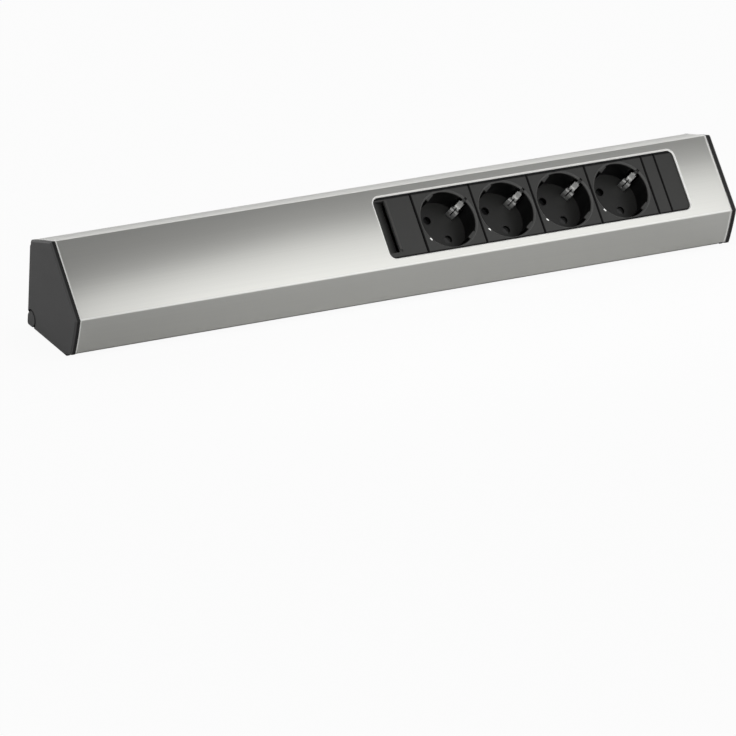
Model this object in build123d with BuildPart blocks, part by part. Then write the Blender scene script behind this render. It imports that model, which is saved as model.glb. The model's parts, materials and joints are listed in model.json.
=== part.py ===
from build123d import *

import os
from math import cos, radians, sin, sqrt

# Corner power strip: an aluminium cover snapped on an L-shaped aluminium base that is
# screwed to the wall and the worktop. Its slanted face shows a row of 45 mm modules:
# a cable outlet, four earthed sockets turned by 35 degrees, and two blank fillers.
#
# Frame: X along the strip, -Y towards the user, Z up, worktop at Z = 0.
# A cross-section is drawn as (forward of the wall, height above the worktop).
# On the slanted face x runs along the strip, y up the slope and z out of the face.

# ---------------------------------------------------------------- driving dimensions, mm

# outline of the extruded cover
cover_depth = 69.3  # wall to the front knee
cover_height = 69.9  # worktop to the upper knee
face_rise = 40.2  # between the knees; the slanted face stands at 45 degrees
top_drop = 9.3  # from the upper knee to the top panel's back edge
toe_setback = 5.8  # from the front knee to the toe
toe_height = 4.3
bevel_setback = 12.4  # from the front knee to where the bevel meets the bottom plate
panel_bow = 0.5  # how far the top and front panels bulge
profile_length = 497.0

# extrusions
cover_wall = 1.9
base_wall = 1.7
leg_setback = 13.4  # how far the base's plates end short of the knees
snap_clearance = 0.1
snap_overlap = 7.0  # how far the cover's lips reach behind the base's plates
snap_bead = 0.5
bead_from_end = 1.5  # the bead's centre from the edge of the lip
edge_radius = 0.6
base_corner_radius = 1.5

# end caps
cap_thickness = 3.5
cap_overhang = 0.8  # past the slanted face, the front and the bottom
cap_edge_chamfer = 1.1
cap_back_rise = 0.7  # how far the cap's back strip reaches past the base's plates
port_width = 3.2  # square channel for a peg of the cap
port_wall = 1.2
port_depth = 9.5  # below the slanted face
port_inset = 0.6  # from the knee, along the slanted face
peg_length = 9.0
peg_clearance = 0.05

# cable entry in the corner of each cap
entry_offset = 6.0  # from the wall and from the worktop
entry_hole = 6.6
entry_ring_gap = 1.1
entry_groove = 1.8  # depth of the groove round the plug
entry_corner_radius = 2.0
entry_edge_chamfer = 0.4
entry_flange = 0.8  # how far the sleeve reaches past the plates' corner
entry_sleeve = 8.0
cord_bore = 4.1

# opening in the slanted face
outlet_width = 29.3
module_pitch = 45.0
socket_count = 4
narrow_filler_width = 10.3
wide_filler_width = 14.2
opening_from_right = 29.6
opening_height = 44.5
opening_corner = 4.5
opening_chamfer = 0.7

# module plates and the rails that hold them
module_height = 49.0
plate_thickness = 2.5
module_gap = 0.4
module_edge_chamfer = 0.6
end_overlap = 3.0  # how far the outer modules reach behind the cover's face
rail_clearance = 0.2
rail_thickness = 1.2
rail_lip = 1.5

# socket insert
socket_turn = 35.0  # degrees between the strip and the line through the earth clips
recess_radius = 20.0
recess_depth = 19.4
mouth_chamfer = 1.0
cup_wall = 1.5
floor_thickness = 2.0
pin_spacing = 19.0
pin_hole = 2.9
rib_width = 6.4
rib_height = 2.0
rib_start = 0.8
rib_shift = 3.3  # both ribs stand to one side of the line through the pins
rib_root = 0.75  # how far the rib runs into the wall
clip_slot_width = 7.4
clip_slot_start = 1.4
clip_slot_inner = 13.7
clip_slot_nick = 0.6  # how far the slot in the wall cuts past the recess

# shutter under the floor of each socket
shutter_thickness = 2.2
shutter_clearance = 0.3
shutter_half_width = 3.2
shutter_reach = 12.8
shutter_ramp_width = 4.2
shutter_ramp_drop = 1.6
shutter_ramp_start = 4.0  # from the pivot
pivot_radius = 1.2
pivot_clearance = 0.08
shutter_travel = 40.0
stop_post = 1.6  # width of the square posts
stop_gap = 0.1
stop_reach = 11.3
spring_thickness = 0.3
spring_foot = (-10.6, 4.6)  # where the leaf's foot leaves its post
spring_foot_length = 2.4
spring_tip_reach = 9.0

# socket base, contacts and earth clip
cup_width = 42.4  # across the flats of the insert's eight-sided body
base_gap = 2.0  # between the bases of neighbouring sockets
base_width = module_pitch - base_gap
base_height = 40.0
base_depth = 17.0
latch_width = 8.0
latch_length = 8.0
latch_thickness = 1.0
latch_nose = 0.6
latch_nose_height = 1.6
latch_clearance = 0.1
chamber_gap = 0.8
contact_strip = 0.7
contact_width = 5.6
contact_height = 7.6
contact_gap = 4.6  # a little less than the pin, which spreads the fork
contact_mouth = 7.0
contact_mouth_drop = 0.9  # from the chamber's floor to the mouth
contact_throat = 2.2  # from the mouth to the narrowest place
contact_belly = 0.6  # how much wider each side is at the foot
pocket_clearance = 0.6
tab_width = 5.0
tab_thickness = 0.8
clip_strip = 0.8
clip_width = 6.2
clip_neck_width = 3.9  # above the two fingers
clip_tip_width = 2.0
clip_split = 0.9
clip_foot_radius = 15.9
clip_finger_end = (15.6, 17.6)  # radius and depth below the plate, from the foot upwards
clip_finger_low = (15.0, 13.0)
clip_finger_high = (15.0, 12.5)
clip_finger_top = (16.0, 10.4)
clip_neck_low = (19.0, 10.0)
clip_neck_high = (19.6, 4.8)
clip_tip = (20.9, 0.9)
strap_drop = 2.5  # from the chamber's floor to the middle of the strap
screw_clearance = 0.1

# wiring
wire_radius = 1.5
wire_drop = 3.1  # from the foot of the contacts
wire_clearance = 0.2
wire_in_block = 5.0

# terminal block with push-in openings, behind the wide filler
terminal_width = 13.0
terminal_height = 26.0
terminal_depth = 12.0
terminal_leg = 2.0
terminal_grip = 6.0  # how far the filler's legs reach along the block

# cable outlet
slit_length = 37.5
slit_from_top = 2.5
ramp_start = 0.8
hood_edge = 8.7
hood_thickness = 1.3
slit_height = 4.2
duct_width = 12.0
duct_depth = 12.0
duct_wall = 1.5
ramp_overlap = 0.6  # how far the ramp runs on under the hood
ramp_foot = 1.0  # how much farther it runs before the duct's rear
lip_height = 0.7
lip_crest = 0.6
lip_width = 2.2
hood_notch = 1.8
notch_depth = 0.5

# tray walls behind the narrow filler
tray_inset = 0.5
tray_short = 1.0
tray_depth = 6.0

# stops at the ends of the module row
stop_width = 8.0

# cord clamp and earth tag on the base, each with one hexagonal screw
clamp_width = 18.0
clamp_depth = 20.0
clamp_height = 11.5
clamp_from_end = 20.0
clamp_screw = 1.4
tag_thickness = 0.8
tag_width = 8.0
tag_length = 18.0
tag_forward = 22.0
tag_from_end = 68.0
tag_screw = 1.9

# screw holes that fix the base
mount_hole = 2.25
mount_spacing = 400.0
mount_height = 28.0

# ---------------------------------------------------------------- derived places

wall_y = (cover_depth + cap_overhang) / 2
half_length = profile_length / 2
back_setback = base_wall + snap_clearance
upper_knee = (cover_depth - face_rise, cover_height)
front_knee = (cover_depth, cover_height - face_rise)
top_back = (back_setback, cover_height - top_drop)
toe = (cover_depth - toe_setback, toe_height)
bevel_end = (cover_depth - bevel_setback, back_setback)
bottom_leg = cover_depth - leg_setback
back_leg = cover_height - leg_setback
face_forward = cover_depth - face_rise / 2
face_height = cover_height - face_rise / 2
face_half = face_rise / sqrt(2)

opening_width = outlet_width + socket_count * module_pitch + narrow_filler_width + wide_filler_width
opening_right = half_length - opening_from_right
opening_left = opening_right - opening_width
sockets_left = opening_left + outlet_width
sockets_right = sockets_left + socket_count * module_pitch

floor_front = recess_depth
floor_rear = floor_front + floor_thickness
shutter_front = floor_rear + shutter_clearance
chamber_floor = shutter_front + shutter_thickness + shutter_clearance
base_rear = floor_rear + base_depth
strap_depth = chamber_floor + strap_drop
fork_foot = chamber_floor + contact_height
wire_depth = fork_foot + wire_drop
pin_x = pin_spacing / 2 * cos(radians(90 + socket_turn))
pin_y = pin_spacing / 2 * sin(radians(90 + socket_turn))
tab_end = wire_depth + wire_radius
port_place = face_half - port_inset

face = Plane(
    origin=(0, wall_y - face_forward, face_height), x_dir=(1, 0, 0), z_dir=(0, -1, 1)
)
seat = face.offset(-cover_wall)  # the front of every module plate


def section(x):
    """The cross-section plane at x, drawn as (forward, height), facing -X."""
    return Plane(origin=(x, wall_y, 0), x_dir=(0, -1, 0), z_dir=(-1, 0, 0))


def module_plane(x, depth=0.0):
    """A plane parallel to the slanted face, at x, depth below the module fronts."""
    return Plane(
        origin=seat.from_local_coords((x, 0, -depth)), x_dir=(1, 0, 0), z_dir=seat.z_dir
    )


def socket_plane(number, depth=0.0):
    """The plane of one socket, with x along the strip."""
    return module_plane(sockets_left + (number - 0.5) * module_pitch, depth)


def turned_plane(number, depth=0.0, turn=socket_turn):
    """The same plane with x through the earth clips and y through the pins."""
    return Plane(socket_plane(number, depth).location * Rotation(0, 0, turn))


def side_plane(plane):
    """The plane at right angles to a socket's plane, drawn as (x, depth downwards)."""
    return Plane(origin=plane.origin, x_dir=plane.x_dir, z_dir=plane.y_dir)


def on_face(y, depth):
    """A point of the cross-section from its place up the slope and below the face."""
    return (face_forward - (depth + y) / sqrt(2), face_height - (depth - y) / sqrt(2))


def face_block(y_start, y_end, depth_start, depth_end):
    """A rectangle of the cross-section, square to the slanted face."""
    Polyline(
        on_face(y_start, depth_start),
        on_face(y_end, depth_start),
        on_face(y_end, depth_end),
        on_face(y_start, depth_end),
        close=True,
    )


def strip_outline(points, thickness):
    """The closed outline of a bent strip whose middle runs through the points."""
    points = [Vector(*point) for point in points]
    runs = [(b - a).normalized() for a, b in zip(points, points[1:])]
    normals = [run.rotate(Axis.Z, 90) for run in runs]
    bends = [normals[0]]
    for before, after in zip(normals, normals[1:]):
        bends.append((before + after) / (1 + before.dot(after)))
    bends.append(normals[-1])
    left = [point + bend * (thickness / 2) for point, bend in zip(points, bends)]
    right = [point - bend * (thickness / 2) for point, bend in zip(points, bends)]
    Polyline(*left, *reversed(right), close=True)


def save(builder, name):
    builder.part.label = name
    export_step(builder.part, f"parts/{name}.step")


def outline_of_cover():
    """The panels of the cover's outline, closed through the corner."""
    corner = (back_setback, back_setback)
    Line(corner, top_back)
    SagittaArc(top_back, upper_knee, panel_bow)
    Line(upper_knee, front_knee)
    SagittaArc(front_knee, toe, panel_bow)
    Polyline(toe, bevel_end, corner)


clamp_x = half_length - clamp_from_end
clamp_screw_place = (clamp_x, wall_y - (base_wall + clamp_depth + entry_offset + cord_bore) / 2)
tag_place = (half_length - tag_from_end, wall_y - tag_forward)

os.makedirs("parts", exist_ok=True)

# ---------------------------------------------------------------- housing

with BuildSketch() as cover_outline:
    with BuildLine():
        outline_of_cover()
    make_face()
    for knee in (upper_knee, front_knee, toe):
        nearest = cover_outline.vertices().sort_by_distance(Vertex(*knee, 0))[0]
        fillet(nearest, edge_radius)

with BuildPart() as housing_cover:
    with BuildSketch(section(half_length)):
        add(cover_outline.sketch)
        offset(amount=-cover_wall, kind=Kind.INTERSECTION, mode=Mode.SUBTRACT)
        # only the lips behind the base's plates stay of the back and bottom walls
        back_lip = back_leg - snap_overlap
        bottom_lip = bottom_leg - snap_overlap
        Rectangle(back_setback + cover_wall, back_lip, align=Align.MIN, mode=Mode.SUBTRACT)
        Rectangle(bottom_lip, back_setback + cover_wall, align=Align.MIN, mode=Mode.SUBTRACT)
        # snap beads on the lips, which enter the grooves in the base's plates
        bead_places = [
            (back_setback, back_lip + bead_from_end),
            (bottom_lip + bead_from_end, back_setback),
        ]
        with Locations(*bead_places):
            RegularPolygon(snap_bead, 4)
        # rails that hold the module plates by their upper and lower edges
        rail_front = cover_wall + plate_thickness + rail_clearance
        rail_y = module_height / 2 + rail_clearance
        for side in (1, -1):
            rail_outer = side * (rail_y + rail_thickness)
            with BuildLine():
                face_block(side * rail_y, rail_outer, cover_wall / 2, rail_front + rail_thickness)
            make_face()
            with BuildLine():
                face_block(side * (rail_y - rail_lip), rail_outer, rail_front, rail_front + rail_thickness)
            make_face()
        # shelves from the rails to the panels, each with a square channel for a peg
        port_shelf = port_width / 2 + port_wall
        for side in (1, -1):
            with BuildLine():
                face_block(
                    side * (port_place - port_shelf), side * 2 * face_half,
                    port_depth - port_shelf, port_depth + port_shelf,
                )
            make_face()
            with BuildLine():
                face_block(
                    side * (port_place - port_width / 2), side * (port_place + port_width / 2),
                    port_depth - port_width / 2, port_depth + port_width / 2,
                )
            make_face(mode=Mode.SUBTRACT)
        add(cover_outline.sketch, mode=Mode.INTERSECT)
    extrude(amount=profile_length)
    opening_plane = Plane(
        origin=face.from_local_coords((opening_left + opening_width / 2, 0, 0)),
        x_dir=(1, 0, 0),
        z_dir=face.z_dir,
    )
    with BuildSketch(opening_plane):
        RectangleRounded(opening_width, opening_height, opening_corner)
    extrude(amount=-2 * cover_wall, mode=Mode.SUBTRACT)
    slanted_face = housing_cover.faces().sort_by(Axis(face.origin, face.z_dir))[-1]
    chamfer(slanted_face.inner_wires()[0].edges(), opening_chamfer)
save(housing_cover, "housing_cover")

with BuildPart() as housing_base:
    with BuildSketch(section(half_length)) as base_section:
        Rectangle(bottom_leg, back_leg, align=Align.MIN)
        with Locations((base_wall, base_wall)):
            Rectangle(bottom_leg, back_leg, align=Align.MIN, mode=Mode.SUBTRACT)
        fillet(base_section.vertices().sort_by_distance(Vertex(0, 0, 0))[0], base_corner_radius)
        # grooves for the snap beads
        with Locations(*bead_places):
            RegularPolygon(snap_bead + snap_clearance, 4, mode=Mode.SUBTRACT)
    extrude(amount=profile_length)
    with BuildSketch(Plane.XZ.offset(-wall_y)):
        with Locations((-mount_spacing / 2, mount_height), (mount_spacing / 2, mount_height)):
            Circle(mount_hole)
    extrude(amount=base_wall, mode=Mode.SUBTRACT)
    with BuildSketch(Plane.XY):
        with Locations(
            (-mount_spacing / 2, wall_y - mount_height), (mount_spacing / 2, wall_y - mount_height)
        ):
            Circle(mount_hole)
        with Locations(clamp_screw_place):
            Circle(clamp_screw + screw_clearance)
        with Locations(tag_place):
            Circle(tag_screw + screw_clearance)
    extrude(amount=base_wall, mode=Mode.SUBTRACT)
save(housing_base, "housing_base")

# ---------------------------------------------------------------- end caps and cable entries

entry_head = entry_hole - entry_ring_gap


def make_end_cap(side):
    """A moulded cap: side is -1 at the left end and 1 at the right end."""
    inner = section(side * half_length)
    outer = section(side * (half_length + cap_thickness))
    run, rise = upper_knee[0] - top_back[0], upper_knee[1] - top_back[1]
    with BuildPart() as cap:
        with BuildSketch(inner):
            with BuildLine():
                outline_of_cover()
            make_face()
            offset(amount=cap_overhang, kind=Kind.INTERSECTION)
            # the cap ends flush with the top panel
            with BuildLine():
                Polyline(
                    (top_back[0] - run, top_back[1] - rise),
                    (upper_knee[0] + run, upper_knee[1] + rise),
                    (upper_knee[0] - run, upper_knee[1] + rise),
                    close=True,
                )
            make_face(mode=Mode.SUBTRACT)
            # the strips behind and under the base's plates
            back_end, bottom_end = back_leg + cap_back_rise, bottom_leg + cap_back_rise
            with BuildLine():
                Polyline(
                    (0, 0), (bottom_end, 0), (bottom_end, toe_height), (toe_height, back_end), (0, back_end),
                    close=True,
                )
            make_face()
        extrude(amount=-side * cap_thickness)
        outer_face = cap.faces().sort_by(Axis.X)[-1 if side > 0 else 0]
        chamfer(outer_face.edges(), cap_edge_chamfer)
        # the seat of the cable entry, and the groove round its head
        with BuildSketch(outer):
            with Locations((entry_offset, entry_offset)):
                Circle(entry_hole)
        extrude(amount=side * entry_groove, mode=Mode.SUBTRACT)
        with BuildSketch(outer):
            with Locations((entry_offset, entry_offset)):
                Circle(entry_head + peg_clearance)
            Rectangle(entry_offset, entry_offset, align=Align.MIN)
        extrude(amount=side * cap_thickness, mode=Mode.SUBTRACT)
        with BuildSketch(inner):
            for peg_side in (1, -1):
                with Locations(on_face(peg_side * port_place, port_depth)):
                    Rectangle(port_width - 2 * peg_clearance, port_width - 2 * peg_clearance, rotation=45)
        extrude(amount=side * peg_length)
    return cap


def make_cable_entry(side, bore):
    """The plug or bushing in the corner of a cap, with a sleeve between the base's plates."""
    inner = section(side * half_length)
    with BuildPart() as entry:
        with BuildSketch(inner) as head:
            with Locations((entry_offset, entry_offset)):
                Circle(entry_head)
            corner = entry_offset - entry_head
            with Locations((corner, corner)):
                Rectangle(entry_head, entry_head, align=Align.MIN)
            corner_vertex = Vertex(corner, corner, 0)
            fillet(head.vertices().sort_by_distance(corner_vertex)[0], entry_corner_radius)
        extrude(amount=-side * cap_thickness)
        outer_face = entry.faces().sort_by(Axis.X)[-1 if side > 0 else 0]
        chamfer(outer_face.edges(), entry_edge_chamfer)
        # the sleeve that lies in the corner of the base's plates
        with BuildSketch(inner):
            with Locations((back_setback, back_setback)):
                sleeve_width = 2 * (entry_offset - back_setback)
                Rectangle(sleeve_width, sleeve_width, align=Align.MIN)
        extrude(amount=side * entry_sleeve)
        if bore:
            with BuildSketch(inner.offset(entry_sleeve * side)):
                with Locations((entry_offset, entry_offset)):
                    Circle(bore)
            extrude(amount=-side * (entry_sleeve + cap_thickness), mode=Mode.SUBTRACT)
    return entry


save(make_end_cap(-1), "end_cap_left")
save(make_end_cap(1), "end_cap_right")
save(make_cable_entry(-1, 0), "cable_plug")
save(make_cable_entry(1, cord_bore), "cable_bushing")

# ---------------------------------------------------------------- cable outlet and fillers

outlet_left = opening_left - end_overlap
slit_top = opening_height / 2 - slit_from_top
slit_bottom = slit_top - slit_length
ramp_end = hood_edge + ramp_overlap
ramp_depth = hood_thickness + slit_height
duct_right = hood_edge + duct_width

with BuildPart() as cable_outlet:
    plate_width = sockets_left - outlet_left - module_gap
    with BuildSketch(module_plane(outlet_left + plate_width / 2)):
        Rectangle(plate_width, module_height)
    extrude(amount=-plate_thickness)
    plate_front = cable_outlet.faces().sort_by(Axis(seat.origin, seat.z_dir))[-1]
    chamfer(plate_front.edges().sort_by(Axis.X)[-1], module_edge_chamfer)
    # the body of the duct behind the plate
    body_left = opening_left - duct_wall
    body_right = opening_left + duct_right + duct_wall
    with BuildSketch(module_plane((body_left + body_right) / 2)):
        with Locations((0, (slit_top + slit_bottom) / 2)):
            Rectangle(body_right - body_left, slit_length + 2 * duct_wall)
    extrude(amount=-duct_depth)
    # the ramp that leads the cords under the hood, and the duct behind it
    ramp_side = side_plane(module_plane(opening_left)).offset(slit_top)
    with BuildSketch(ramp_side):
        with BuildLine():
            Polyline(
                (ramp_start, 0),
                (ramp_start, -lip_height),
                (hood_edge, -lip_height),
                (hood_edge, hood_thickness),
                (duct_right, hood_thickness),
                (duct_right, duct_depth),
                (ramp_end + ramp_foot, duct_depth),
                (ramp_end, ramp_depth),
                close=True,
            )
        make_face()
    extrude(amount=-slit_length, mode=Mode.SUBTRACT)
    # the rolled lip on the free edge of the hood, and the notch at its lower end
    with BuildSketch(ramp_side):
        with BuildLine():
            Polyline(
                (hood_edge, hood_thickness / 2),
                (hood_edge, -lip_height),
                (hood_edge + lip_crest, -lip_height),
                (hood_edge + lip_width, 0),
                (hood_edge + lip_width, hood_thickness / 2),
                close=True,
            )
        make_face()
    extrude(amount=-slit_length)
    with BuildSketch(module_plane(opening_left + hood_edge, -lip_height)):
        with Locations((0, slit_bottom)):
            Rectangle(lip_width, hood_notch, align=(Align.MIN, Align.MIN))
    extrude(amount=-lip_height - notch_depth, mode=Mode.SUBTRACT)
save(cable_outlet, "cable_outlet")

with BuildPart() as narrow_filler:
    filler_x = sockets_right + narrow_filler_width / 2
    with BuildSketch(module_plane(filler_x)):
        Rectangle(narrow_filler_width - module_gap, module_height)
    extrude(amount=-plate_thickness)
    plate_front = narrow_filler.faces().sort_by(Axis(seat.origin, seat.z_dir))[-1]
    long_edges = plate_front.edges().sort_by(Axis.X)
    chamfer([long_edges[0], long_edges[-1]], module_edge_chamfer)
    # the tray wall that stiffens it from behind
    with BuildSketch(module_plane(filler_x, plate_thickness)):
        Rectangle(narrow_filler_width - 2 * tray_inset, opening_height - 2 * tray_short)
        offset(amount=-cup_wall, mode=Mode.SUBTRACT)
    extrude(amount=-tray_depth)
save(narrow_filler, "narrow_filler")

wide_left = sockets_right + narrow_filler_width
wide_width = wide_filler_width + end_overlap
terminal_x = wide_left + wide_width / 2
terminal_front = wire_depth - terminal_depth / 2

with BuildPart() as wide_filler:
    with BuildSketch(module_plane(terminal_x)):
        Rectangle(wide_width - module_gap, module_height)
    extrude(amount=-plate_thickness)
    plate_front = wide_filler.faces().sort_by(Axis(seat.origin, seat.z_dir))[-1]
    chamfer(plate_front.edges().sort_by(Axis.X)[0], module_edge_chamfer)
    # two legs that hold the terminal block, and the web it rests against
    with BuildSketch(module_plane(terminal_x, plate_thickness)):
        leg_place = (terminal_height + terminal_leg) / 2
        with Locations((0, leg_place), (0, -leg_place)):
            Rectangle(terminal_width, terminal_leg)
    extrude(amount=-(terminal_front + terminal_grip - plate_thickness))
    with BuildSketch(module_plane(terminal_x, plate_thickness)):
        Rectangle(cup_wall, terminal_height + terminal_leg)
    extrude(amount=-(terminal_front - plate_thickness))
save(wide_filler, "wide_filler")

# ---------------------------------------------------------------- sockets

wire_places = {"live": pin_y, "earth": 0.0, "neutral": -pin_y}

# Posts behind the floor, with x through the clips and y through the pins. The shutter's
# wings lie along y and open anticlockwise. The rest stop stands behind the upper wing, and
# the end stop meets the lower wing when it is open.
stop_offset = shutter_half_width + stop_post / 2 + stop_gap
stop_along = sqrt(stop_reach**2 - stop_offset**2)
rest_stop = Location((stop_offset, stop_along))
end_stop = Rotation(0, 0, shutter_travel) * Location((stop_offset, -stop_along))
spring_post = Location(
    (spring_foot[0] - (stop_post + spring_thickness) / 2 - stop_gap, spring_foot[1] - spring_foot_length / 2)
)


def slope_section(number, y, depth):
    """The plane across the strip at y up the slope, drawn as (up the slope, outwards)."""
    return Plane(
        origin=socket_plane(number, depth).from_local_coords((0, y, 0)),
        x_dir=seat.y_dir,
        z_dir=(1, 0, 0),
    )


def latch_outline(side, grow=0.0):
    """The outline of a snap hook of the insert, or with grow of the notch that takes it."""
    reach = base_height / 2 + latch_clearance
    Polyline(
        (side * reach, 0),
        (side * reach, latch_nose_height - latch_length + grow),
        (side * (reach - latch_clearance - latch_nose - grow), -latch_length - grow),
        (side * (reach + latch_thickness), -latch_length - grow),
        (side * (reach + latch_thickness), 0),
        close=True,
    )


def make_insert(number):
    """The moulded insert: plate, round recess with guide ribs, pin holes, posts and hooks."""
    front = socket_plane(number)
    with BuildPart() as insert:
        with BuildSketch(front):
            Rectangle(module_pitch - module_gap, module_height)
        extrude(amount=-plate_thickness)
        plate_front = insert.faces().sort_by(Axis(seat.origin, seat.z_dir))[-1]
        long_edges = plate_front.edges().sort_by(Axis.X)
        chamfer([long_edges[0], long_edges[-1]], module_edge_chamfer)
        with BuildSketch(front):
            RegularPolygon(cup_width / 2, 8, major_radius=False, rotation=22.5)
        extrude(amount=-floor_rear)
        with BuildSketch(front):
            Circle(recess_radius)
        extrude(amount=-floor_front, mode=Mode.SUBTRACT)
        plate_front = insert.faces().sort_by(Axis(seat.origin, seat.z_dir))[-1]
        chamfer(plate_front.inner_wires()[0].edges(), mouth_chamfer)
        # the two guide ribs
        with BuildSketch(turned_plane(number, rib_start)):
            rib_place = recess_radius + (rib_root - rib_height) / 2
            with Locations((rib_shift, rib_place), (rib_shift, -rib_place)):
                Rectangle(rib_width, rib_height + rib_root)
        extrude(amount=-(floor_front - rib_start))
        with BuildSketch(turned_plane(number, floor_front)):
            with Locations((0, pin_spacing / 2), (0, -pin_spacing / 2)):
                Circle(pin_hole)
        extrude(amount=-floor_thickness, mode=Mode.SUBTRACT)
        # slots for the arms of the earth clip, through the wall and the floor
        slot_outer = recess_radius + 2 * cup_wall
        wall_slot = slot_outer - recess_radius + clip_slot_nick
        with BuildSketch(turned_plane(number, clip_slot_start)):
            with Locations((slot_outer - wall_slot / 2, 0), (wall_slot / 2 - slot_outer, 0)):
                Rectangle(wall_slot, clip_slot_width)
        extrude(amount=-(floor_rear - clip_slot_start), mode=Mode.SUBTRACT)
        floor_slot = slot_outer - clip_slot_inner
        with BuildSketch(turned_plane(number, floor_front)):
            with Locations((slot_outer - floor_slot / 2, 0), (floor_slot / 2 - slot_outer, 0)):
                Rectangle(floor_slot, clip_slot_width)
        extrude(amount=-floor_thickness, mode=Mode.SUBTRACT)
        # nicks in the mouth for the tips of the earth clip
        with BuildSketch(turned_plane(number)):
            with Locations((clip_tip[0], 0), (-clip_tip[0], 0)):
                Rectangle(2 * mouth_chamfer, clip_tip_width + 2 * latch_clearance)
        extrude(amount=-clip_slot_start, mode=Mode.SUBTRACT)
        # behind the floor: the shutter's pivot, its two stops and the spring's post
        with BuildSketch(turned_plane(number, floor_rear)):
            Circle(pivot_radius)
            with Locations(rest_stop, end_stop, spring_post):
                Rectangle(stop_post, stop_post)
        extrude(amount=-(chamber_floor - floor_rear))
        # the hooks that catch the base
        for side in (1, -1):
            with BuildSketch(slope_section(number, 0, floor_rear)):
                with BuildLine():
                    latch_outline(side)
                make_face()
            extrude(amount=latch_width / 2, both=True)
    return insert


def make_shutter(number):
    """Two wings on a pivot, which cover the pin holes until both pins push them aside."""
    with BuildPart() as shutter:
        with BuildSketch(turned_plane(number, shutter_front)):
            Rectangle(2 * shutter_half_width, 2 * shutter_reach)
            Circle(pivot_radius + pivot_clearance, mode=Mode.SUBTRACT)
        extrude(amount=-shutter_thickness)
        # the ramps on which the pins slide, one on each wing
        for turn in (socket_turn, socket_turn + 180):
            wing = turned_plane(number, shutter_front, turn)
            with BuildSketch(side_plane(wing).offset(shutter_ramp_start)):
                with BuildLine():
                    Polyline(
                        (shutter_half_width - shutter_ramp_width, 0),
                        (shutter_half_width, 0),
                        (shutter_half_width, shutter_ramp_drop),
                        close=True,
                    )
                make_face()
            extrude(amount=shutter_reach, mode=Mode.SUBTRACT)
    return shutter


def make_spring(number):
    """The leaf that returns the shutter: a foot along its post, then the leaf to the wing."""
    depth = shutter_front + shutter_thickness / 2
    height = shutter_thickness - 2 * shutter_clearance
    tip = (-(shutter_half_width + spring_thickness / 2 + stop_gap), spring_tip_reach)
    foot_end = (spring_foot[0], spring_foot[1] - spring_foot_length)
    with BuildPart() as spring:
        with BuildSketch(turned_plane(number, depth)):
            with BuildLine():
                strip_outline([foot_end, spring_foot, tip], spring_thickness)
            make_face()
        extrude(amount=height / 2, both=True)
    return spring


def make_earth_clip(number):
    """A sprung strap: two arms with forked contacts, joined behind the shutter."""
    foot = [(clip_foot_radius, strap_depth), (clip_foot_radius, floor_front)]
    fingers = [clip_finger_end, clip_finger_low, clip_finger_high, clip_finger_top]
    arm = foot + fingers + [clip_neck_low]
    neck = [clip_finger_top, clip_neck_low, clip_neck_high]
    tip = [clip_neck_low, clip_neck_high, clip_tip]
    with BuildPart() as clip:
        with BuildSketch(side_plane(turned_plane(number))):
            with BuildLine():
                strip_outline([(-r, d) for r, d in reversed(foot + fingers)] + foot + fingers, clip_strip)
            make_face()
        extrude(amount=clip_width / 2, both=True)
        for side in (1, -1):
            for points, width in ((neck, clip_neck_width), (tip, clip_tip_width)):
                with BuildSketch(side_plane(turned_plane(number))):
                    with BuildLine():
                        strip_outline([(side * r, d) for r, d in points], clip_strip)
                    make_face()
                extrude(amount=width / 2, both=True)
        # the split that makes two fingers of each arm
        with BuildSketch(turned_plane(number, clip_neck_low[1] - clip_strip)):
            for side in (1, -1):
                with Locations((side * (clip_finger_low[0] + clip_foot_radius) / 2, 0)):
                    Rectangle(2 * (clip_foot_radius - clip_finger_low[0]) + 2 * clip_strip, clip_split)
        extrude(amount=-(floor_rear - clip_neck_low[1]), mode=Mode.SUBTRACT)
        # the tab that cuts into the earth wire, square to the row of sockets
        with BuildSketch(socket_plane(number, strap_depth)):
            Rectangle(tab_thickness, tab_width)
        extrude(amount=-(tab_end - strap_depth))
        with BuildSketch(slope_section(number, wire_places["earth"], wire_depth)):
            with Locations((0, wire_radius)):
                Rectangle(2 * wire_radius, 4 * wire_radius, align=(Align.CENTER, Align.MAX))
        extrude(amount=tab_thickness, both=True, mode=Mode.SUBTRACT)
    return clip


def make_contact(number, side):
    """The sprung fork for one pin, with the tab that cuts into the wire behind it."""
    half_gap = (contact_gap + contact_strip) / 2
    half_mouth = (contact_mouth + contact_strip) / 2
    mouth = chamber_floor + contact_mouth_drop
    fork = [
        (half_mouth, mouth),
        (half_gap, mouth + contact_throat),
        (half_gap + contact_belly, fork_foot - contact_strip / 2),
    ]
    pin = module_plane(socket_plane(number).origin.X + side * pin_x)
    pin_axis = pin.shift_origin(pin.from_local_coords((0, side * pin_y, 0)))
    with BuildPart() as contact:
        with BuildSketch(side_plane(pin_axis)):
            with BuildLine():
                strip_outline([(-w, d) for w, d in fork] + list(reversed(fork)), contact_strip)
            make_face()
        extrude(amount=contact_width / 2, both=True)
        with BuildSketch(pin_axis.offset(-fork_foot)):
            Rectangle(tab_thickness, tab_width)
        extrude(amount=-(tab_end - fork_foot))
        with BuildSketch(slope_section(number, side * pin_y, wire_depth)):
            with Locations((0, wire_radius)):
                Rectangle(2 * wire_radius, 4 * wire_radius, align=(Align.CENTER, Align.MAX))
        extrude(amount=module_pitch / 2, both=True, mode=Mode.SUBTRACT)
    return contact


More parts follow.
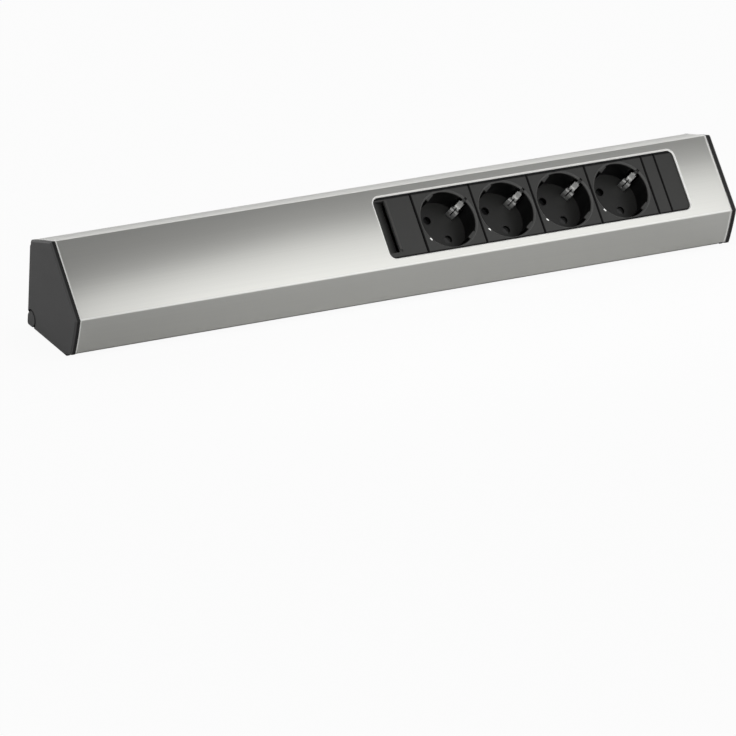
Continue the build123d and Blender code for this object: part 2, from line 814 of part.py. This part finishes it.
def make_base(number):
    """The moulded base behind an insert: shutter chamber, contact pockets, wire channels."""
    contact_places = [(pin_x, pin_y), (-pin_x, -pin_y)]
    with BuildPart() as base:
        with BuildSketch(socket_plane(number, floor_rear)):
            Rectangle(base_width, base_height)
        extrude(amount=-base_depth)
        with BuildSketch(turned_plane(number, floor_rear)):
            Rectangle(2 * (shutter_reach + chamber_gap), 2 * (shutter_reach + chamber_gap))
        extrude(amount=-(chamber_floor - floor_rear), mode=Mode.SUBTRACT)
        # the groove on whose floor the earth clip's strap lies
        with BuildSketch(turned_plane(number, floor_rear)):
            Rectangle(2 * (clip_foot_radius + clip_strip), clip_slot_width)
        extrude(amount=-(strap_depth + clip_strip / 2 - floor_rear), mode=Mode.SUBTRACT)
        # pockets for the two forks, and for the three tabs
        with BuildSketch(socket_plane(number, chamber_floor)):
            with Locations(*contact_places):
                Rectangle(
                    contact_mouth + 2 * contact_strip + pocket_clearance, contact_width + pocket_clearance
                )
        extrude(amount=-(fork_foot - chamber_floor), mode=Mode.SUBTRACT)
        with BuildSketch(socket_plane(number, strap_depth)):
            with Locations((0, 0), *contact_places):
                Rectangle(tab_thickness + pocket_clearance, tab_width + pocket_clearance)
        extrude(amount=-(tab_end + pocket_clearance - strap_depth), mode=Mode.SUBTRACT)
        # wire channels, open to the rear
        channel_top = wire_depth - wire_radius - wire_clearance
        with BuildSketch(socket_plane(number, channel_top)):
            with Locations(*[(0, y) for y in wire_places.values()]):
                Rectangle(base_width, 2 * (wire_radius + wire_clearance))
        extrude(amount=-(base_rear - channel_top), mode=Mode.SUBTRACT)
        # notches in the sides, in which the insert's hooks catch
        for side in (1, -1):
            with BuildSketch(slope_section(number, 0, floor_rear)):
                with BuildLine():
                    latch_outline(side, latch_clearance)
                make_face()
            extrude(amount=latch_width / 2 + latch_clearance, both=True, mode=Mode.SUBTRACT)
    return base


for number in range(1, socket_count + 1):
    save(make_insert(number), f"socket_{number}_insert")
    save(make_shutter(number), f"socket_{number}_shutter")
    save(make_spring(number), f"socket_{number}_spring")
    save(make_earth_clip(number), f"socket_{number}_earth_clip")
    save(make_contact(number, 1), f"socket_{number}_live_contact")
    save(make_contact(number, -1), f"socket_{number}_neutral_contact")
    save(make_base(number), f"socket_{number}_base")

# ---------------------------------------------------------------- wires and terminal block

wire_start = sockets_left + base_gap / 2
wire_end = terminal_x - terminal_width / 2 + wire_in_block

for name, y in wire_places.items():
    wire_plane = Plane(
        origin=seat.from_local_coords((wire_start, y, -wire_depth)), x_dir=seat.y_dir, z_dir=(1, 0, 0)
    )
    with BuildPart() as wire:
        with BuildSketch(wire_plane):
            Circle(wire_radius)
        extrude(amount=wire_end - wire_start)
    save(wire, f"{name}_wire")

with BuildPart() as terminal_block:
    with BuildSketch(module_plane(terminal_x, terminal_front)):
        Rectangle(terminal_width, terminal_height)
    extrude(amount=-terminal_depth)
    block_side = Plane(
        origin=seat.from_local_coords((terminal_x - terminal_width / 2, 0, -wire_depth)),
        x_dir=seat.y_dir,
        z_dir=(1, 0, 0),
    )
    with BuildSketch(block_side):
        with Locations(*[(y, 0) for y in wire_places.values()]):
            Rectangle(2 * (wire_radius + wire_clearance), 2 * (wire_radius + wire_clearance))
    extrude(amount=terminal_width, mode=Mode.SUBTRACT)
save(terminal_block, "terminal_block")

# ---------------------------------------------------------------- stops of the module row

row_right = wide_left + wide_width
stop_places = {
    "left": outlet_left - module_gap - stop_width / 2,
    "right": row_right + module_gap + stop_width / 2,
}

for name, x in stop_places.items():
    with BuildPart() as row_stop:
        with BuildSketch(module_plane(x)):
            Rectangle(stop_width, module_height)
        extrude(amount=-plate_thickness)
    save(row_stop, f"row_stop_{name}")

# ---------------------------------------------------------------- cord clamp and earth tag

with BuildPart() as cord_clamp:
    with BuildSketch(section(clamp_x + clamp_width / 2)):
        with Locations((base_wall, base_wall)):
            Rectangle(clamp_depth, clamp_height, align=Align.MIN)
        # the channel for the cord along the corner of the base
        with Locations((entry_offset, entry_offset)):
            Circle(cord_bore, mode=Mode.SUBTRACT)
        channel = entry_offset + cord_bore
        Rectangle(channel, entry_offset, align=Align.MIN, mode=Mode.SUBTRACT)
        Rectangle(entry_offset, channel, align=Align.MIN, mode=Mode.SUBTRACT)
    extrude(amount=clamp_width)
    with BuildSketch(Plane.XY.offset(base_wall)):
        with Locations(clamp_screw_place):
            Circle(clamp_screw + screw_clearance)
    extrude(amount=clamp_height, mode=Mode.SUBTRACT)
save(cord_clamp, "cord_clamp")

with BuildPart() as cord_clamp_screw:
    with BuildSketch(Plane.XY.offset(base_wall + clamp_height)):
        with Locations(clamp_screw_place):
            RegularPolygon(2 * clamp_screw, 6)
    extrude(amount=clamp_screw)
    with BuildSketch(Plane.XY.offset(screw_clearance)):
        with Locations(clamp_screw_place):
            Circle(clamp_screw)
    extrude(amount=base_wall + clamp_height - screw_clearance)
save(cord_clamp_screw, "cord_clamp_screw")

with BuildPart() as earth_tag:
    with BuildSketch(Plane.XY.offset(base_wall)):
        with Locations(tag_place):
            Rectangle(tag_length, tag_width)
            Circle(tag_screw + screw_clearance, mode=Mode.SUBTRACT)
    extrude(amount=tag_thickness)
save(earth_tag, "earth_tag")

with BuildPart() as earth_screw:
    with BuildSketch(Plane.XY.offset(base_wall + tag_thickness)):
        with Locations(tag_place):
            RegularPolygon(2 * tag_screw, 6)
    extrude(amount=tag_screw)
    with BuildSketch(Plane.XY.offset(screw_clearance)):
        with Locations(tag_place):
            Circle(tag_screw)
    extrude(amount=base_wall + tag_thickness - screw_clearance)
save(earth_screw, "earth_screw")
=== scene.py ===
import json
from math import cos, pi, radians, sin

import bpy
from mathutils import Matrix, Vector


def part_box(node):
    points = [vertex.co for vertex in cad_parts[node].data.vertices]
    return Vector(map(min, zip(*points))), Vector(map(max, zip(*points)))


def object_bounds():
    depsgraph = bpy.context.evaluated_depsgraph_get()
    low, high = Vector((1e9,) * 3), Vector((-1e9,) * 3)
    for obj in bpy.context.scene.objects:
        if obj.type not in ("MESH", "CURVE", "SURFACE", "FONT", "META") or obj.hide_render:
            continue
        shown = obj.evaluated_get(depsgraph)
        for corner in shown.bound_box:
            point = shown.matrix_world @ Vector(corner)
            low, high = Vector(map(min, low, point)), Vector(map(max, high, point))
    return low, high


# A corner power strip in plain studio light: a satin aluminium housing with dark end caps and
# a row of nearly black modules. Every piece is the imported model's own mesh. The script adds
# the materials, the floor, the light and the camera. Lengths are in metres.

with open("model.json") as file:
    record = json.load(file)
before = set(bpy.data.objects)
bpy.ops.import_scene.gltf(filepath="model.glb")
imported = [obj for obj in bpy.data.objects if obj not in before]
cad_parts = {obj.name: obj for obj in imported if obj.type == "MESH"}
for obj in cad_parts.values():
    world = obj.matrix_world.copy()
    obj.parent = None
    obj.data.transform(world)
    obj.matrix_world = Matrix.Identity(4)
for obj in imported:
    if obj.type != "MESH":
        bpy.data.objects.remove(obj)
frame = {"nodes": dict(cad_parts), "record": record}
cad_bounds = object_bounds()
nodes = frame["nodes"]
record = frame["record"]
mount_places = {mount["name"]: mount["pos_m"] for mount in record["mounts"]}
slots = {part["node"]: part["material_slot"] for part in record["subparts"]}


def put(item, origin, axes):
    """Adds a camera or lamp to the scene at a point, with its x, y and z axes as given."""
    item.matrix_world = Matrix.Translation(origin) @ Matrix(axes).transposed().to_4x4()
    bpy.context.scene.collection.objects.link(item)


# ---------------------------------------------------------------- camera

AZIMUTH, ELEVATION, ROLL = radians(30.013), radians(23.772), radians(3.077)
TARGET = Vector((0.0015, 0.00505, 0.040))
DISTANCE = 4.3435
LEFT_OF_TARGET, BELOW_TARGET = 0.013947, 0.093472  # puts the strip high in the picture
SENSOR_WIDTH = 36  # mm
FOCAL_LENGTH = 8.815 * SENSOR_WIDTH

to_camera = Vector(
    (-sin(AZIMUTH) * cos(ELEVATION), -cos(AZIMUTH) * cos(ELEVATION), sin(ELEVATION))
)
level = Vector((cos(AZIMUTH), -sin(AZIMUTH), 0))
upright = to_camera.cross(level)
to_right = cos(ROLL) * level + sin(ROLL) * upright
to_top = cos(ROLL) * upright - sin(ROLL) * level

camera_data = bpy.data.cameras.new("camera")
camera_data.sensor_width = SENSOR_WIDTH
camera_data.lens = FOCAL_LENGTH
camera = bpy.data.objects.new("camera", camera_data)
put(
    camera,
    TARGET - LEFT_OF_TARGET * to_right - BELOW_TARGET * to_top + DISTANCE * to_camera,
    (to_right, to_top, to_camera),
)
bpy.context.scene.camera = camera

# ---------------------------------------------------------------- places on the housing

DIAGONAL = 0.5**0.5
PLATE_DEPTH = 0.0019  # from the slanted face to the module plates
PIN_DEPTH = 0.0204 + PLATE_DEPTH  # from the slanted face to the mount of a socket's pins
OPENING_FROM_END = 0.0296
OPENING_HALF_LENGTH, OPENING_HALF_HEIGHT, OPENING_RADIUS = 0.1169, 0.02225, 0.0045

_, pin_y, pin_z = mount_places["socket_1_pins"]
face = pin_y - pin_z - PIN_DEPTH / DIAGONAL  # y - z, the same all over the slanted face
cover_low, cover_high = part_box("housing_cover")
knee = (2 * cover_low.y - face - pin_y - pin_z) * DIAGONAL  # slope height of the front knee
profile_end = cover_high.x
opening_middle = profile_end - OPENING_FROM_END - OPENING_HALF_LENGTH
row_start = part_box("socket_1_insert")[0].x
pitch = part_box("socket_2_insert")[0].x - row_start
row_end = row_start + 4 * pitch
filler_seam = (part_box("narrow_filler")[1].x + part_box("wide_filler")[0].x) / 2

# ---------------------------------------------------------------- shader nodes


def add_node(tree, kind, inputs=None, **settings):
    """Adds a shader node. Each input takes a value or another node's output."""
    made = tree.nodes.new("ShaderNode" + kind)
    for key, value in settings.items():
        setattr(made, key, value)
    for key, value in (inputs or {}).items():
        if isinstance(value, bpy.types.NodeSocket):
            tree.links.new(value, made.inputs[key])
        else:
            made.inputs[key].default_value = value
    return made


class Shader:
    """A material with short calls for the nodes that it needs.

    A mask is an output that is 1 where something is and 0 elsewhere. within and beyond make
    one from a measure, and every and some join them.
    """

    def __init__(self, name, **values):
        self.material = bpy.data.materials.new(name)
        self.material.use_nodes = True
        self.tree = self.material.node_tree
        self.bsdf = self.tree.nodes["Principled BSDF"]
        for socket, value in values.items():
            self.bsdf.inputs[socket.replace("_", " ").title()].default_value = value

    def node(self, kind, inputs=None, **settings):
        return add_node(self.tree, kind, inputs, **settings)

    def link(self, output, socket):
        self.tree.links.new(output, self.bsdf.inputs[socket])

    def math(self, operation, a, b=0.0):
        return self.node("Math", {0: a, 1: b}, operation=operation).outputs[0]

    def fold(self, operation, values):
        result = values[0]
        for value in values[1:]:
            result = self.math(operation, result, value)
        return result

    def add(self, *values):
        return self.fold("ADD", values)

    def subtract(self, *values):
        return self.fold("SUBTRACT", values)

    def every(self, *masks):
        return self.fold("MULTIPLY", masks)

    def some(self, *masks):
        return self.fold("MAXIMUM", masks)

    def size(self, value):
        return self.math("ABSOLUTE", value)

    def length(self, a, b):
        return self.math("SQRT", self.add(self.math("MULTIPLY", a, a), self.math("MULTIPLY", b, b)))

    def remap(self, value, low, high, start=0.0, end=1.0):
        """Goes from low at start to high at end, and stays level outside them."""
        limits = {"From Min": start, "From Max": end, "To Min": low, "To Max": high}
        return self.node("MapRange", {"Value": value, **limits}).outputs["Result"]

    def within(self, value, limit, fade):
        """A mask that is 0 from the limit up, and 1 below it past the fade."""
        return self.remap(value, 0.0, 1.0, limit, limit - fade)

    def beyond(self, value, limit, fade):
        """A mask that is 0 up to the limit, and 1 above it past the fade."""
        return self.remap(value, 0.0, 1.0, limit, limit + fade)

    def blend(self, factor, first, second):
        return self.node("Mix", {0: factor, 2: first, 3: second}).outputs[0]

    def mix(self, factor, first, second):
        """Mixes two colours, each given as three numbers or as an output."""
        first, second = (
            colour if isinstance(colour, bpy.types.NodeSocket) else (*colour, 1)
            for colour in (first, second)
        )
        return self.node("Mix", {0: factor, 6: first, 7: second}, data_type="RGBA").outputs[2]

    def noise(self, scale, stretch=(1, 1, 1), detail=3.0, roughness=0.5):
        place = self.node("TexCoord").outputs["Object"]
        place = self.node("Mapping", {"Vector": place, "Scale": stretch}).outputs["Vector"]
        inputs = {"Vector": place, "Scale": scale, "Detail": detail, "Roughness": roughness}
        return self.node("TexNoise", inputs).outputs["Fac"]

    def bump(self, height, strength, distance):
        inputs = {"Height": height, "Strength": strength, "Distance": distance}
        self.link(self.node("Bump", inputs).outputs["Normal"], "Normal")

    def grain(self):
        """The fine spark-eroded grain of moulded plastic, and the same with slight clouds."""
        fine = self.noise(2600, detail=2, roughness=0.6)
        clouds = self.noise(38, detail=3)
        return fine, self.math("MULTIPLY", self.add(fine, clouds), 0.5)

    def xyz(self, output="Object"):
        return self.node("SeparateXYZ", {"Vector": self.node("TexCoord").outputs[output]}).outputs

    def slope_depth(self):
        """Depth below the slanted face of the housing."""
        at = self.xyz()
        return self.math("MULTIPLY", self.subtract(at["Y"], at["Z"], face), DIAGONAL)

    def slope_height(self):
        """Distance up the slope from the middle of the sockets."""
        at = self.xyz()
        above = self.subtract(self.add(at["Y"], at["Z"]), pin_y + pin_z)
        return self.math("MULTIPLY", above, DIAGONAL)

    def slope_facing(self):
        """Cosine of the angle between the surface and the slanted face."""
        normal = self.node("TexCoord").outputs["Normal"]
        inputs = {0: normal, 1: (0, -DIAGONAL, DIAGONAL)}
        return self.node("VectorMath", inputs, operation="DOT_PRODUCT").outputs["Value"]


# ---------------------------------------------------------------- materials


def brushed_aluminium():
    """Satin anodised extrusion with very fine lines along X, and edges painted near white: partly
    bare cut metal, partly painted highlight.
    """
    s = Shader("anodised_aluminium", metallic=1.0, roughness=0.29, anisotropic=0.45)
    streaks = s.noise(1.0, (3, 1700, 1700), detail=4, roughness=0.62)
    clouds = s.noise(9.0, (0.5, 1.6, 1.6), detail=2)
    x = s.xyz()["X"]
    facing, depth, up = s.slope_facing(), s.slope_depth(), s.slope_height()
    rim_depth, knee_depth = 0.0009, 0.0004
    rim_width, knee_width, sawn_width = 0.0012, 0.0010, 0.0014
    flattest, steepest = 0.985, 0.57  # cosines between which a surface is part of a bevel
    fade = 0.0002

    near_face = s.within(depth, rim_depth, fade / 2)
    bevel_highlight = s.every(s.within(facing, flattest, 0.025), s.beyond(facing, steepest, 0.05), near_face)
    knee_highlight = s.every(
        s.within(up, knee + knee_width, fade), s.within(depth, knee_depth, fade / 2)
    )
    sawn_ends = s.beyond(s.size(x), profile_end - sawn_width, fade)
    # the milled edge of the opening, just outside its rounded rectangle
    beside = s.subtract(s.size(s.subtract(x, opening_middle)), OPENING_HALF_LENGTH - OPENING_RADIUS)
    above = s.subtract(s.size(up), OPENING_HALF_HEIGHT - OPENING_RADIUS)
    outside = s.length(s.math("MAXIMUM", beside, 0.0), s.math("MAXIMUM", above, 0.0))
    milled = s.every(s.within(outside, OPENING_RADIUS + rim_width, fade), near_face)
    cut_edge_and_highlight = s.some(bevel_highlight, knee_highlight, milled, sawn_ends)

    brushed = s.mix(streaks, (0.69, 0.69, 0.66), (0.74, 0.74, 0.708))
    brushed_roughness = s.add(s.remap(streaks, 0.272, 0.298), s.remap(clouds, -0.02, 0.02))
    # painted highlight: the edges go near white and less metallic; the rim of the opening and the
    # sawn ends are partly bare cut metal, the bevels and the front knee are wholly painted
    # highlight
    s.link(s.mix(cut_edge_and_highlight, brushed, (0.95, 0.95, 0.92)), "Base Color")
    s.link(s.remap(cut_edge_and_highlight, 1.0, 0.15), "Metallic")
    s.link(s.blend(cut_edge_and_highlight, brushed_roughness, 0.42), "Roughness")
    s.bump(streaks, 0.05, 0.00004)
    tangent = s.node("Tangent", direction_type="RADIAL", axis="X").outputs["Tangent"]
    s.link(tangent, "Tangent")
    s.bsdf.inputs["Anisotropic Rotation"].default_value = 0.25
    return s.material


def moulded(name, dark, light, roughness):
    """Moulded plastic with a fine grain and slight cloudiness."""
    s = Shader(name, roughness=roughness)
    s.bsdf.inputs["Specular IOR Level"].default_value = 0.45
    fine, shade = s.grain()
    s.link(s.mix(shade, dark, light), "Base Color")
    s.link(s.remap(fine, roughness - 0.06, roughness + 0.06), "Roughness")
    s.bump(fine, 0.35, 0.00005)
    return s.material


def cap_plastic():
    """Dark grey end caps whose bevels, outlines and groove round the plug are painted nearly black
    as shade.
    """
    s = Shader("cap_plastic", roughness=0.52)
    s.bsdf.inputs["Specular IOR Level"].default_value = 0.35
    fine, shade = s.grain()
    at = s.xyz()
    _, entry_y, entry_z = mount_places["cord_entry"]
    wall = cad_bounds[1][1]

    wall_edge_shade, floor_edge_shade = 0.0005, 0.0007  # painted shade as dark outlines along the back and the bottom
    groove_radius, groove_shade_half_width = 0.0059, 0.0008
    shaded_rim = 0.0021  # painted shade on the bevels, from the housing outwards

    sideways = s.beyond(s.size(s.xyz("Normal")["X"]), 0.8, 0.17)
    outermost = s.beyond(s.size(at["X"]), profile_end + shaded_rim, 0.0004)
    radius = s.length(s.subtract(at["Y"], entry_y), s.subtract(at["Z"], entry_z))
    from_groove = s.size(s.subtract(radius, groove_radius))
    grey = s.every(
        s.some(sideways, outermost),
        s.beyond(from_groove, groove_shade_half_width, 0.0002),
        s.within(at["Y"], wall - wall_edge_shade, 0.0003),
        s.beyond(at["Z"], floor_edge_shade, 0.0003),
    )
    flat = s.mix(shade, (0.056, 0.056, 0.056), (0.080, 0.080, 0.080))
    # painted shade: the bevels, the outlines and the groove round the plug go nearly black
    s.link(s.mix(grey, (0.008, 0.008, 0.008), flat), "Base Color")
    s.link(s.remap(fine, 0.46, 0.58), "Roughness")
    s.bump(fine, 0.35, 0.00005)
    return s.material


def socket_plastic():
    """Anthracite plates with a fine grain, and smooth recesses painted nearly black as shade, with
    painted shade in the gaps and a painted highlight on the chamfers.
    """
    s = Shader("module_plastic", roughness=0.5)
    s.bsdf.inputs["Specular IOR Level"].default_value = 0.3
    fine, shade = s.grain()
    depth = s.subtract(s.slope_depth(), PLATE_DEPTH)
    x, up = s.xyz()["X"], s.slope_height()

    seam_half_width, plate_half_height = 0.0009, 0.0205
    lip_inner, lip_outer, lip_depth = 0.0198, 0.0213, 0.0011
    recess_depth = 0.0012  # where the recesses' smooth plastic and their painted shade start
    fade = 0.0003

    # painted shade as dark lines in the gaps between the modules, and along the upper and lower
    # edges of their plates
    from_seam = s.math("PINGPONG", s.subtract(x, row_start), pitch / 2)
    nearest = s.math("MINIMUM", from_seam, s.size(s.subtract(x, filler_seam)))
    seam_shade = s.some(
        s.within(nearest, seam_half_width, 0.0002), s.beyond(s.size(up), plate_half_height, 0.0004)
    )

    # painted highlight as a lighter chamfer round each recess
    radius = s.length(up, s.subtract(pitch / 2, from_seam))
    past_start = s.beyond(x, row_start - fade, fade)
    lip_highlight = s.every(
        s.beyond(radius, lip_inner, fade),
        s.within(radius, lip_outer, fade),
        past_start,
        s.within(x, row_end, fade),
        s.within(depth, lip_depth, 0.0001),
    )

    inside = s.some(s.every(s.beyond(depth, recess_depth, 0.001), past_start), seam_shade)
    wall = s.every(inside, s.some(seam_shade, s.within(s.slope_facing(), 0.9, 0.3)))
    plate = s.mix(shade, (0.034, 0.034, 0.033), (0.048, 0.048, 0.046))
    plate = s.mix(lip_highlight, plate, (0.085, 0.085, 0.083))
    # painted shade: the recess floors darker than the plates, and the recess walls and the gaps
    # nearly black
    recess_shade = s.mix(wall, (0.024, 0.024, 0.023), (0.003, 0.003, 0.003))
    s.link(s.mix(inside, plate, recess_shade), "Base Color")
    smooth = s.blend(inside, s.remap(fine, 0.44, 0.56), 0.32)
    s.link(s.blend(seam_shade, smooth, 0.8), "Roughness")
    s.bump(fine, s.blend(inside, 0.35, 0.06), 0.00005)
    return s.material


def clip_plate():
    """Bright nickel with painted highlights in bands, painted shade at its bends, and painted shade
    where the strap runs up its channel.
    """
    s = Shader("plated_brass", metallic=0.5, roughness=0.25)
    grain = s.noise(900, detail=3)
    ramp_depth, channel_shade_depth = 0.02, 0.005
    # the lower arm counts as deeper than it is, past the painted channel shade, so its painted
    # highlight reaches up to its tip
    lower = s.within(s.slope_height(), 0.0, 0.002)
    depth = s.add(s.slope_depth(), s.math("MULTIPLY", lower, channel_shade_depth))
    # painted shade darker towards the top of the strap, with painted highlights in bands and
    # painted shade at the bends and creases between them
    ramp = s.node("ValToRGB", {"Fac": s.remap(depth, 0.0, 1.0, end=ramp_depth)})
    stops = ramp.color_ramp.elements
    stops[0].position, stops[0].color = 0.24, (0.10, 0.10, 0.10, 1)
    stops[1].position, stops[1].color = 1.0, (0.5, 0.5, 0.49, 1)
    highlight_level, bend_shade, crease_shade, foot_highlight = 0.97, 0.2, 0.3, 0.9
    for level, positions in (
        (highlight_level, (0.30, 0.56, 0.65, 0.715, 0.755)),
        (bend_shade, (0.59, 0.625)),
        (crease_shade, (0.725, 0.745)),
        (foot_highlight, (0.86,)),
    ):
        for position in positions:
            stops.new(position).color = (level, level, level * 0.98, 1)
    worn = s.math("MULTIPLY", grain, 0.1)
    s.link(s.mix(worn, ramp.outputs[0], (0.8, 0.8, 0.78)), "Base Color")
    s.link(s.remap(grain, 0.2, 0.3), "Roughness")
    s.bump(grain, 0.15, 0.00003)
    return s.material


def metal(name, colour, roughness):
    """Plain metal with a faint mottle."""
    s = Shader(name, metallic=1.0, roughness=roughness)
    grain = s.noise(900, detail=3)
    s.link(s.mix(grain, [c * 0.86 for c in colour], colour), "Base Color")
    s.link(s.remap(grain, roughness - 0.05, roughness + 0.07), "Roughness")
    s.bump(grain, 0.15, 0.00003)
    return s.material


materials = {
    "anodised_aluminium": brushed_aluminium(),
    "cap_plastic": cap_plastic(),
    "module_plastic": socket_plastic(),
    "plated_brass": clip_plate(),
}
for name, dark, light, roughness in (
    ("inner_plastic", (0.022, 0.022, 0.022), (0.032, 0.032, 0.032), 0.5),
    ("shutter_plastic", (0.011, 0.011, 0.011), (0.017, 0.017, 0.017), 0.45),
    ("live_insulation", (0.14, 0.06, 0.025), (0.18, 0.08, 0.035), 0.45),
    ("neutral_insulation", (0.025, 0.12, 0.40), (0.035, 0.15, 0.48), 0.45),
    ("earth_insulation", (0.26, 0.46, 0.05), (0.34, 0.54, 0.07), 0.45),
):
    materials[name] = moulded(name, dark, light, roughness)
for name, colour, roughness in (
    ("contact_brass", (0.80, 0.59, 0.27), 0.3),
    ("screw_steel", (0.62, 0.62, 0.61), 0.34),
):
    materials[name] = metal(name, colour, roughness)

for node, piece in nodes.items():
    piece.data.materials.clear()
    piece.data.materials.append(materials[slots[node]])

# ---------------------------------------------------------------- floor

FLOOR_REACH = 14.0
FLOOR_GAP = 0.0002  # under the strip

floor_mesh = bpy.data.meshes.new("floor")
corners = [(x * FLOOR_REACH, y * FLOOR_REACH, 0) for x, y in ((-1, -1), (1, -1), (1, 1), (-1, 1))]
floor_mesh.from_pydata(corners, [], [range(4)])
floor = bpy.data.objects.new("floor", floor_mesh)
floor.location.z = cad_bounds[0][2] - FLOOR_GAP
bpy.context.scene.collection.objects.link(floor)

# the floor is a mid grey to the strip, and near white with a faint shadow to the camera
s = Shader("floor", base_color=(0.6, 0.6, 0.6, 1), roughness=0.8)
to_eye = s.node("LightPath").outputs["Is Camera Ray"]
pale = s.node("BsdfDiffuse", {"Color": (0.95, 0.95, 0.95, 1)}).outputs[0]
white = s.node("Emission", {"Color": (1, 1, 1, 1), "Strength": 1.0}).outputs[0]
shown = s.node("MixShader", {0: 0.93, 1: pale, 2: white}).outputs[0]
pick = s.node("MixShader", {0: to_eye, 1: s.bsdf.outputs[0], 2: shown}).outputs[0]
s.tree.links.new(pick, s.tree.nodes["Material Output"].inputs["Surface"])
floor_mesh.materials.append(s.material)

# ---------------------------------------------------------------- world

SKY_FADE = 0.05

world = bpy.data.worlds.new("studio")
bpy.context.scene.world = world
world.use_nodes = True
tree = world.node_tree
tree.nodes.clear()
coordinates = add_node(tree, "TexCoord").outputs["Generated"]
direction = add_node(tree, "SeparateXYZ", {0: coordinates}).outputs


def sky_step(axis, middle, below, above):
    """Goes from one brightness to another where a coordinate of the direction passes a value."""
    inputs = {
        "Value": direction[axis],
        "From Min": middle - SKY_FADE,
        "From Max": middle + SKY_FADE,
        "To Min": below,
        "To Max": above,
    }
    return add_node(tree, "MapRange", inputs).outputs["Result"]


# dim overhead, bright all round at middle height, and brighter low behind than low in front
front = sky_step("Z", 0.3, 0.65, 1.16)
all_round = sky_step("Y", 0.25, front, 1.4)
sky = add_node(tree, "Background", {"Color": sky_step("Z", 0.64, all_round, 0.2)}).outputs[0]
backdrop = add_node(tree, "Background", {"Color": (1, 1, 1, 1)}).outputs[0]
to_eye = add_node(tree, "LightPath").outputs["Is Camera Ray"]
surface = add_node(tree, "MixShader", {0: to_eye, 1: sky, 2: backdrop}).outputs[0]
add_node(tree, "OutputWorld", {"Surface": surface})

# ---------------------------------------------------------------- lamps


def softbox(name, left, right, towards, height, radiance):
    """A lamp that hangs down from the line between two points and faces a third."""
    left, right = Vector(left), Vector(right)
    along = (right - left).normalized()
    away = (left + right) / 2 - Vector(towards)
    away = (away - away.dot(along) * along).normalized()
    upwards = away.cross(along)
    data = bpy.data.lights.new(name, "AREA")
    data.shape = "RECTANGLE"
    data.size = (right - left).length
    data.size_y = height
    data.energy = radiance * pi * data.size * height
    lamp = bpy.data.objects.new(name, data)
    lamp.visible_camera = False
    put(lamp, (left + right) / 2 - upwards * height / 2, (along, upwards, away))


# two lamps end to end and a weaker, lower one, which the slanted face reflects
softbox(
    "slope_left",
    left=(-0.205, -0.0843, 0.1679),
    right=(-0.01, -0.0737, 0.1785),
    towards=(-0.0975, -0.015, 0.0489),
    height=0.09,
    radiance=0.83,
)
softbox(
    "slope_right",
    left=(-0.01, -0.0737, 0.1785),
    right=(0.37, -0.0709, 0.1813),
    towards=(0.18, -0.0088, 0.0551),
    height=0.09,
    radiance=0.83,
)
softbox(
    "slope_low",
    left=(-0.12, -0.0932, 0.159),
    right=(0.37, -0.0918, 0.1604),
    towards=(0.125, -0.029, 0.0349),
    height=0.06,
    radiance=0.25,
)

bpy.context.scene.view_settings.view_transform = "Standard"
